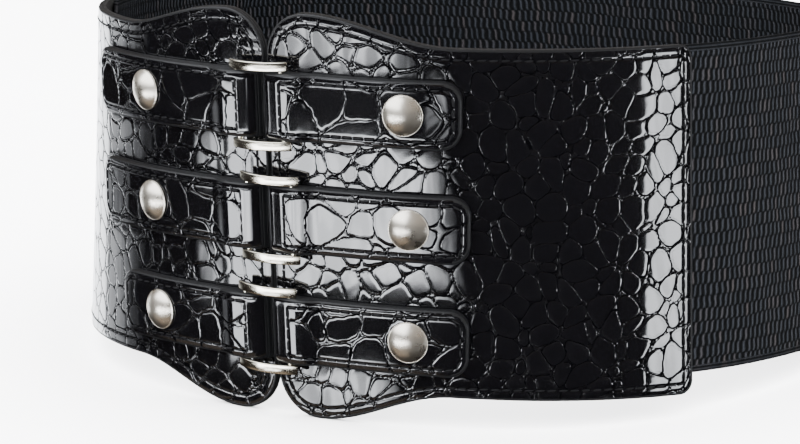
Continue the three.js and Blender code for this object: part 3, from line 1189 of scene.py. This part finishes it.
@dataclass
class Stitching:
    """A row of stitches along a seam's path."""

    finishes: Finishes
    width: float = 0.62 * MM
    slant: float = 0.06
    sunk: float = 0.06 * MM

    def build(self, name: str, seam: Seam, height: Callable[[float], float]) -> bpy.types.Object:
        """Lays the stitches.

        Args:
            name: the piece's name.
            seam: where they run.
            height: offset of the leather's face at a length along the wall.

        Returns:
            The stitches, one piece.
        """
        bm = bmesh.new()
        for middle in seam.middles:
            (s, z), before, after = seam.at(middle + np.array([0.0, -0.6 * MM, 0.6 * MM]))
            run = after - before
            place = wall_matrix(s, z, height(s) - self.sunk, math.atan2(run[1], run[0]) + self.slant)
            shape = Matrix.Diagonal((seam.stitch / 2, self.width / 2, self.width / 2, 1))
            bmesh.ops.create_uvsphere(bm, u_segments=8, v_segments=7, radius=1.0,
                                      matrix=place @ shape @ Matrix.Rotation(math.pi / 2, 4, "Y"))
        return piece_from(bm, name, self.finishes.thread)


@dataclass
class FrontPanel:
    """One of the two embossed front panels."""

    side: Side
    finishes: Finishes
    spacing: float = 0.42 * MM
    rim: float = 0.6 * MM
    borders: tuple[float, float] = (3.3 * MM, 3.9 * MM)
    seeds: tuple[int, int] = (11, 23)

    def own(self, pair: tuple[float, float]) -> float:
        """This side's value of a pair that gives the right side's first."""
        return pair[0] if self.side is Side.RIGHT else pair[1]

    def strip(self) -> Strip:
        """The panel as a strip along the wall."""
        lobe = round_spread(0, PANEL.lobe_radius, 38)
        straight = even_spread(PANEL.lobe_radius, PANEL.length - PANEL.corner_radius, self.spacing)
        corner = round_spread(PANEL.length, PANEL.length - PANEL.corner_radius, 12)[::-1]
        distance = np.concatenate([lobe, straight[1:], corner[1:]])
        sign = self.side.value
        return Strip(
            name=f"leather_panel_{self.side.word}",
            stations=PANEL.gap_shift + sign * (PANEL.gap / 2 + distance),
            low=PANEL.edge(distance, PANEL.bottom, PANEL.lobe_bottom),
            high=PANEL.edge(distance, PANEL.top, PANEL.lobe_top),
            face=np.zeros(distance.shape), back=-PANEL.thickness, spacing=self.spacing,
            rim=self.rim, relief=Relief(self.own(self.seeds)), border=self.own(self.borders),
            border_drop=0.1 * MM, paint=0.8 * MM)

    def build(self) -> None:
        """Builds the panel and its stitching."""
        strip = self.strip()
        strip.seam = Seam(seam_path(strip.outline(), strip.border))
        panel = strip.build((self.finishes.leather, self.finishes.panel_edge, self.finishes.backing))
        report(panel, "patent_leather", f"panel_{self.side.word}")
        stitches = Stitching(self.finishes).build(
            f"panel_stitches_{self.side.word}", strip.seam, lambda s: 0.0)
        report(stitches, "patent_leather")


@dataclass
class StrapPiece:
    """One of the six straps, folded round the ring's bar."""

    sort: StrapSort
    row: int
    finishes: Finishes
    spacing: float = 0.32 * MM
    rim: float = 0.8 * MM
    border: float = 2.5 * MM
    scale_pitch: float = 11 * MM

    @property
    def tip(self) -> float:
        """Distance of this row's tip from the closure."""
        return self.sort.tips[self.row - 1]

    def strip(self, start: float) -> Strip:
        """The strap, or the part of it that is sewn, as a strip along the wall."""
        sort = self.sort
        nose = round_spread(start, start + sort.fold_radius, 12)
        body = even_spread(start + sort.fold_radius, self.tip - STRAP.corner_radius, self.spacing)
        tip = round_spread(self.tip, self.tip - STRAP.corner_radius, 20)[::-1]
        distance = np.concatenate([nose, body[1:], tip[1:]])
        half = STRAP.half_height - corner_drop(self.tip - distance, STRAP.corner_radius)
        middle = row_middle(self.row)
        seed = 100 + 10 * self.row + (sort.side is Side.RIGHT)
        return Strip(
            name=f"leather_strap_{sort.side.word}_{self.row}",
            stations=sort.side.value * distance, low=middle - half, high=middle + half,
            face=STRAP.face(distance, sort), back=STRAP.clearance, spacing=self.spacing,
            rim=self.rim, relief=Relief(seed, pitch=self.scale_pitch), border=self.border,
            border_drop=0.28 * MM, paint=0.95 * MM, plain_end=0.72 * sort.fold_top,
            back_rows=6, edge_rows=6)

    def build(self) -> None:
        """Builds the strap and its stitching."""
        strip = self.strip(self.sort.end)
        strip.seam = Seam(seam_path(self.strip(self.sort.seam_start - self.border).outline(), self.border))
        strap = strip.build((self.finishes.leather, self.finishes.strap_edge, self.finishes.backing))
        name = f"{self.sort.side.word}_{self.row}"
        report(strap, "strap_leather", f"strap_{name}")
        sign = self.sort.side.value

        def height(s: float) -> float:
            return float(STRAP.face(np.array(s * sign), self.sort))

        stitches = Stitching(self.finishes).build(f"strap_stitches_{name}", strip.seam, height)
        report(stitches, "strap_leather")


@dataclass
class ElasticBand:
    """The elastic that runs round the back."""

    finishes: Finishes
    spacing: float = 1.2 * MM

    def build(self) -> None:
        """Builds the band."""
        start = PANEL.length - ELASTIC.tuck
        stations = even_spread(start, WALL.length - start, self.spacing)
        outer = -PANEL.thickness - ELASTIC.clearance
        level = np.full(stations.shape, ELASTIC.half_height)
        strip = Strip(
            name="woven_elastic", stations=stations, low=-level, high=level,
            face=np.full(stations.shape, outer), back=outer - ELASTIC.thickness,
            spacing=1.6 * MM, rim=0.5 * MM, back_rows=60, edge_rows=3)
        webbing = self.finishes.webbing
        band = strip.build((webbing, webbing, webbing))
        report(band, "elastic_webbing", "elastic_band")
        WALL.length - 2 * start


@dataclass
class Ring:
    """A metal ring: two round bars in the straps' folds and two bowed flat rails."""

    row: int
    shift: float
    turn: float
    finishes: Finishes
    bar_at: float = 8 * MM
    bar_radius: float = 1.1 * MM
    bar_offset: float = 2.9 * MM
    rail_middle: float = 12.15 * MM
    rail_height: float = 2.9 * MM
    rail_thickness: float = 1.4 * MM
    rail_half: float = 10.6 * MM
    rail_peak: float = 6.2 * MM
    rail_bow: float = 2.7 * MM
    rail_edge: float = 0.32 * MM
    rail_steps: int = 40

    def rail(self, bm: bmesh.types.BMesh, level: float) -> None:
        """Adds one bowed rail at a level above the ring's middle."""
        radius = (self.rail_half**2 + self.rail_bow**2) / (2 * self.rail_bow)
        turn = math.asin(self.rail_half / radius)
        centre = Vector((0, level, self.rail_peak - radius))
        lowest = radius - self.rail_thickness
        corners = [Vector((0, level + y, centre.z + z)) for y, z in (
            (-self.rail_height / 2, lowest), (self.rail_height / 2, lowest),
            (self.rail_height / 2, radius), (-self.rail_height / 2, radius))]
        part = bmesh.new()
        section = part.faces.new([part.verts.new(corner) for corner in corners])
        bmesh.ops.rotate(part, verts=part.verts, cent=centre, matrix=Matrix.Rotation(-turn, 3, "Y"))
        bmesh.ops.spin(part, geom=[section, *section.edges, *section.verts], cent=centre, axis=(0, 1, 0),
                       angle=2 * turn, steps=self.rail_steps, use_merge=False, use_duplicate=False)
        bmesh.ops.remove_doubles(part, verts=part.verts, dist=1e-7)
        ends = [edge for edge in part.edges if edge.is_boundary]
        if ends:
            bmesh.ops.holes_fill(part, edges=ends, sides=0)
        bmesh.ops.recalc_face_normals(part, faces=part.faces)
        sharp = [e for e in part.edges if e.is_manifold and e.calc_face_angle() > math.radians(40)]
        bmesh.ops.bevel(part, geom=sharp, offset=self.rail_edge, affect="EDGES", segments=4,
                        profile=0.5, material=-1, clamp_overlap=True)
        scratch = bpy.data.meshes.new("rail_part")
        part.to_mesh(scratch)
        part.free()
        bm.from_mesh(scratch)
        bpy.data.meshes.remove(scratch)

    def build(self) -> None:
        """Builds the ring where its row is."""
        bm = bmesh.new()
        for level in (-self.rail_middle, self.rail_middle):
            self.rail(bm, level)
        for at in (-self.bar_at, self.bar_at):
            stand = Matrix.Translation((at, 0, self.bar_offset)) @ Matrix.Rotation(math.pi / 2, 4, "X")
            bmesh.ops.create_cone(bm, cap_ends=True, segments=28, radius1=self.bar_radius,
                                  radius2=self.bar_radius, depth=2 * self.rail_middle, matrix=stand)
        settled = wall_matrix(self.shift, row_middle(self.row), turn=math.radians(self.turn))
        bmesh.ops.transform(bm, matrix=settled, verts=bm.verts)
        piece = piece_from(bm, f"metal_ring_{self.row}", self.finishes.bright_nickel)
        piece.data.set_sharp_from_angle(angle=math.radians(42))
        report(piece, "satin_nickel", f"ring_{self.row}")


@dataclass
class Stud:
    """A domed stud on a thin rim.

    Attributes:
        sort: the sort of strap that it is on.
        row: the strap's row.
        finishes: the belt's materials.
        radius: radius of the rim.
        rim_section: the rim's section, as millimetres in from its edge and up from the strap.
        foot_height: height of the dome's foot above the strap.
        dome_radius: radius of the dome.
        dome_height: how high it rises from its foot.
        dome_steps: steps from the dome's foot to its top.
        steps: steps round it.
    """

    sort: StrapSort
    row: int
    finishes: Finishes
    radius: float = 6.3 * MM
    rim_section: tuple[tuple[float, float], ...] = (
        (0.15, 0.0), (0.0, 0.15), (0.0, 0.25), (0.07, 0.42), (0.13, 0.345))
    foot_height: float = 0.315 * MM
    dome_radius: float = 6.1 * MM
    dome_height: float = 2.6 * MM
    dome_steps: int = 16
    steps: int = 72

    def profile(self) -> list[tuple[float, float]]:
        """The stud's half section, as radius and height from the strap's back."""
        seat = STRAP.clearance + STRAP.thickness
        sphere = (self.dome_radius**2 + self.dome_height**2) / (2 * self.dome_height)
        turn = math.asin(self.dome_radius / sphere)
        points = [(0.0, seat)]
        points += [(self.radius - inward * MM, seat + up * MM) for inward, up in self.rim_section]
        middle = seat + self.foot_height + self.dome_height - sphere
        for step in range(self.dome_steps + 1):
            angle = turn * (1 - step / self.dome_steps)
            points.append((sphere * math.sin(angle), middle + sphere * math.cos(angle)))
        return points

    def build(self) -> None:
        """Builds the stud on its strap."""
        bm = bmesh.new()
        verts = [bm.verts.new((r, 0, h)) for r, h in self.profile()]
        edges = [bm.edges.new(pair) for pair in zip(verts, verts[1:])]
        bmesh.ops.spin(bm, geom=[*verts, *edges], cent=(0, 0, 0), axis=(0, 0, 1), angle=2 * math.pi,
                       steps=self.steps, use_merge=True, use_duplicate=False)
        bmesh.ops.remove_doubles(bm, verts=bm.verts, dist=1e-6)
        at = self.sort.side.value * self.sort.studs[self.row - 1]
        bmesh.ops.transform(bm, matrix=wall_matrix(at, row_middle(self.row)), verts=bm.verts)
        name = f"{self.sort.side.word}_{self.row}"
        piece = piece_from(bm, f"dome_stud_{name}", self.finishes.nickel)
        report(piece, "satin_nickel", f"stud_{name}")


@dataclass(frozen=True)
class Card:
    """A soft light card on an upright round screen about the belt, seen only in reflections.

    Attributes:
        name: the card's name.
        left: azimuth in degrees of its left end, and the heights of its lower and upper edges there.
        right: the same for its right end.
        strength: its brightness.
        slant: degrees by which its upper edge is ahead of its lower edge.
        sag: how far its middle hangs below the line of its ends.
        fade: shares of its width over which its left and right ends fade.
        rim: share of its height over which its upper and lower edges fade.
        patches: how much darker its darkest patches are, 0 to 1.
        tint: its colour.
        radius: radius of the screen.
        steps: how many flat steps the card is bent in.
        cloud_scale: how fine its patches are.
        ragged_scale: how fine the raggedness of its ends is.
        ragged: how far that reaches, as a share of the fade.
    """

    name: str
    left: tuple[float, float, float]
    right: tuple[float, float, float]
    strength: float
    slant: float = 0.0
    sag: float = 0.0
    fade: tuple[float, float] = (0.03, 0.03)
    rim: float = 0.06
    patches: float = 0.0
    tint: tuple[float, float, float] = (0.93, 0.955, 1.0)
    radius: float = 0.5
    steps: int = 32
    cloud_scale: float = 28.0
    ragged_scale: float = 60.0
    ragged: float = 0.5

    def material(self) -> bpy.types.Material:
        """The card's glow, with soft darker patches and ragged soft ends."""
        recipe = Recipe(self.name)
        across, up = recipe.stored("card_across"), recipe.stored("card_up")
        cloud = recipe.noise(recipe.objects(), self.cloud_scale, 1.0)
        torn = recipe.noise(recipe.objects(), self.ragged_scale, 3.0) - 0.5
        ends = across + torn * (self.ragged * max(self.fade))
        level = ends.step(0.0, self.fade[0]) * (1 - ends.step(1 - self.fade[1], 1.0))
        level = level * up.step(0.0, self.rim) * (1 - up.step(1 - self.rim, 1.0))
        level = level * (1 - recipe.range(cloud, 0.42, 0.58, 0.0, self.patches, "SMOOTHSTEP"))
        return recipe.finish({
            "Base Color": (0, 0, 0, 1), "Specular IOR Level": 0.0,
            "Emission Color": recipe.colour_mix(level, (0.0, 0.0, 0.0), self.tint),
            "Emission Strength": self.strength})

    def build(self) -> None:
        """Bends the card round the belt."""
        bm = bmesh.new()
        bmesh.ops.create_grid(bm, x_segments=self.steps, y_segments=8, size=0.5)
        places = []
        for vert in bm.verts:
            across, up = vert.co.x + 0.5, vert.co.y + 0.5
            places.append((across, up))
            azimuth, low, high = (a + (b - a) * across for a, b in zip(self.left, self.right))
            turn = math.radians(azimuth + self.slant * (up - 0.5))
            hang = self.sag * 4 * across * (1 - across)
            vert.co = Vector((self.radius * math.sin(turn), -self.radius * math.cos(turn),
                              low + (high - low) * up - hang))
        card = piece_from(bm, self.name, self.material())
        for name, values in zip(("card_across", "card_up"), np.array(places).T):
            Strip.attribute(card.data, name, values)
        card.visible_camera = card.visible_diffuse = card.visible_shadow = False


@dataclass
class Studio:
    """Floor, soft light and camera.

    Attributes:
        view_azimuth: how far the camera stands to the right of the closure, in degrees.
        view_elevation: how far it stands above the belt's own level, in degrees.
        view_roll: how far it is rolled, in degrees.
        distance: its distance from the target.
        focal_pixels: its focal length in pixels of the picture.
        picture_width: the picture's width in pixels.
        target: the point of the belt's own frame that it looks at.
        floor_size: side of the floor.
        floor_colour: its colour.
        room_light: the light that comes from all round.
        dark_surround: what the belt mirrors of the room, near the horizon and below.
        pale_surround: the same higher up.
        surround_rise: the sines of the elevations between which it changes.
        lamp_elevation: how far the lamp stands above the horizon, in degrees.
        lamp_distance: its distance from the belt.
        lamp_size: its side.
        lamp_power: its power in watts.
    """

    view_azimuth: float = 31.5
    view_elevation: float = 9.5
    view_roll: float = 0.925
    distance: float = 1.169
    focal_pixels: float = 3757.0
    picture_width: int = 800
    target: tuple[float, float, float] = (16.6 * MM, -98.07 * MM, -10.49 * MM)
    floor_size: float = 6.0
    floor_colour: tuple[float, float, float, float] = (0.97, 0.97, 0.98, 1.0)
    room_light: tuple[float, float, float] = (10.0, 10.0, 10.1)
    dark_surround: tuple[float, float, float] = (0.014, 0.0105, 0.008)
    pale_surround: tuple[float, float, float] = (0.2, 0.16, 0.12)
    surround_rise: tuple[float, float] = (0.03, 0.4)
    lamp_elevation: float = 78.0
    lamp_distance: float = 1.2
    lamp_size: float = 0.9
    lamp_power: float = 12.0

    def upright(self, vector: Vector) -> Vector:
        """Turns a direction of the belt's own frame to the scene, where the belt leans back."""
        turn = -math.atan2(WALL.lobe_drop, WALL.front_depth + WALL.back_depth)
        return Matrix.Rotation(turn, 3, "X") @ vector

    def camera(self) -> None:
        """Sets the camera at the photograph's angle."""
        a, e, r = (math.radians(v) for v in (self.view_azimuth, self.view_elevation, self.view_roll))
        back = Vector((math.sin(a) * math.cos(e), -math.cos(a) * math.cos(e), math.sin(e)))
        right = Vector((math.cos(a), math.sin(a), 0))
        up = back.cross(right)
        rolled_right = right * math.cos(r) + up * math.sin(r)
        rolled_up = up * math.cos(r) - right * math.sin(r)
        back, rolled_right, rolled_up = (self.upright(v) for v in (back, rolled_right, rolled_up))
        target = self.upright(Vector(self.target)) + Vector(SHIFT)
        data = bpy.data.cameras.new("camera")
        data.sensor_width = 36.0
        data.lens = self.focal_pixels * data.sensor_width / self.picture_width
        data.clip_start, data.clip_end = 0.05, 50.0
        camera = bpy.data.objects.new("camera", data)
        camera.matrix_world = Matrix((rolled_right, rolled_up, back)).transposed().to_4x4()
        camera.location = target + back * self.distance
        bpy.context.scene.collection.objects.link(camera)
        bpy.context.scene.camera = camera

    def floor(self) -> None:
        """Lays the plain pale floor."""
        bm = bmesh.new()
        bmesh.ops.create_grid(bm, x_segments=1, y_segments=1, size=self.floor_size / 2)
        recipe = Recipe("pale_floor")
        material = recipe.finish({"Base Color": self.floor_colour, "Roughness": 0.9})
        floor = piece_from(bm, "floor", material)
        floor.visible_glossy = False

    def world(self) -> None:
        """Sets a pale surround that mirrors dark."""
        world = bpy.data.worlds.new("studio")
        recipe = Recipe("studio", world)
        mirrored = recipe.out(recipe.node("ShaderNodeLightPath"), "Is Glossy Ray")
        direction = recipe.out(recipe.node("ShaderNodeTexCoord"), "Generated")
        height = recipe.out(recipe.node("ShaderNodeSeparateXYZ", None, {0: direction}), "Z")
        sky = recipe.colour_mix(height.step(*self.surround_rise), self.dark_surround, self.pale_surround)
        glow = recipe.colour_mix(mirrored, self.room_light, sky)
        shine = recipe.out(recipe.node("ShaderNodeBackground", None, {"Color": glow}))
        recipe.node("ShaderNodeOutputWorld", None, {"Surface": shine})
        bpy.context.scene.world = world

    def lamp(self) -> None:
        """Adds a soft square lamp above the belt."""
        elevation = math.radians(self.lamp_elevation)
        away = Vector((0, -math.cos(elevation), math.sin(elevation)))
        data = bpy.data.lights.new("top_light", "AREA")
        data.shape, data.size, data.energy = "SQUARE", self.lamp_size, self.lamp_power
        lamp = bpy.data.objects.new("top_light", data)
        lamp.location = Vector((0, 0, 0.06)) + away * self.lamp_distance
        lamp.rotation_mode = "QUATERNION"
        lamp.rotation_quaternion = away.to_track_quat("Z", "Y")
        lamp.visible_glossy = False
        bpy.context.scene.collection.objects.link(lamp)

    def build(self) -> None:
        """Builds the studio."""
        self.camera()
        self.floor()
        self.world()
        self.lamp()
        for card in (
            Card("lobe_card", (-29, 0.020, 0.047), (13, 0.026, 0.052), 11.0, fade=(0.02, 0.35),
                 patches=0.6),
            Card("centre_card", (-31, -0.08, -0.009), (21, -0.05, -0.002), 13.5, sag=0.001,
                 fade=(0.02, 0.3), patches=0.25),
            Card("fold_card", (-36.5, -0.108, 0.021), (-26, -0.108, 0.021), 10.5),
            Card("upper_left_card", (-46, -0.025, -0.005), (-38, -0.027, -0.008), 7.5, fade=(0.5, 0.02),
                 patches=0.6),
            Card("lower_left_card", (-46, -0.074, -0.055), (-38, -0.076, -0.058), 7.5, fade=(0.5, 0.02),
                 patches=0.6),
            Card("bottom_card", (-28, -0.14, -0.109), (0, -0.13, -0.099), 11.0, fade=(0.03, 0.35),
                 patches=0.5),
            Card("tip_card", (14, 0.004, 0.027), (22, 0.012, 0.036), 6.5, fade=(0.3, 0.4), rim=0.2,
                 patches=0.7),
            Card("end_card", (81.5, -0.07, 0.1), (94.5, -0.07, 0.1), 10.5, slant=14, fade=(0.02, 0.02),
                 patches=0.2),
            Card("left_card", (-180, -0.14, 0.08), (-95, -0.14, 0.08), 7.5, slant=-6, fade=(0.001, 0.06)),
            Card("left_top_fade_card", (-98, 0.031, 0.07), (-64, 0.027, 0.06), 2.3, fade=(0.001, 0.9)),
            Card("left_upper_fade_card", (-98, -0.014, 0.002), (-60, -0.017, -0.002), 2.0,
                 fade=(0.001, 0.9)),
            Card("left_lower_fade_card", (-98, -0.12, -0.043), (-66, -0.13, -0.046), 2.3,
                 fade=(0.001, 0.9)),
            Card("left_patch_card", (-90, -0.044, -0.018), (-73, -0.042, -0.018), 1.2, fade=(0.2, 0.2),
                 patches=0.5),
            Card("key_card", (-72, 0.15, 1.0), (14, 0.15, 1.0), 5.6, fade=(0.2, 0.2), rim=0.14),
            Card("low_card", (-66, -0.7, -0.15), (14, -0.7, -0.145), 0.35, fade=(0.2, 0.2), rim=0.02,
                 tint=(1.0, 0.8, 0.62)),
            Card("rear_card", (125, -0.14, 0.1), (180, -0.14, 0.1), 1.2),
        ):
            card.build()


def main() -> None:
    logging.basicConfig(level=logging.INFO, format="%(name)s: %(message)s")
    Studio().build()
    finishes = Finishes()
    for side in Side:
        FrontPanel(side, finishes).build()
    ElasticBand(finishes).build()
    for row, (shift, turn) in enumerate(RING_POSES, start=1):
        for sort in (RIGHT_STRAP, LEFT_STRAP):
            StrapPiece(sort, row, finishes).build()
            Stud(sort, row, finishes).build()
        Ring(row, shift, turn, finishes).build()


if __name__ == "__main__":
    main()
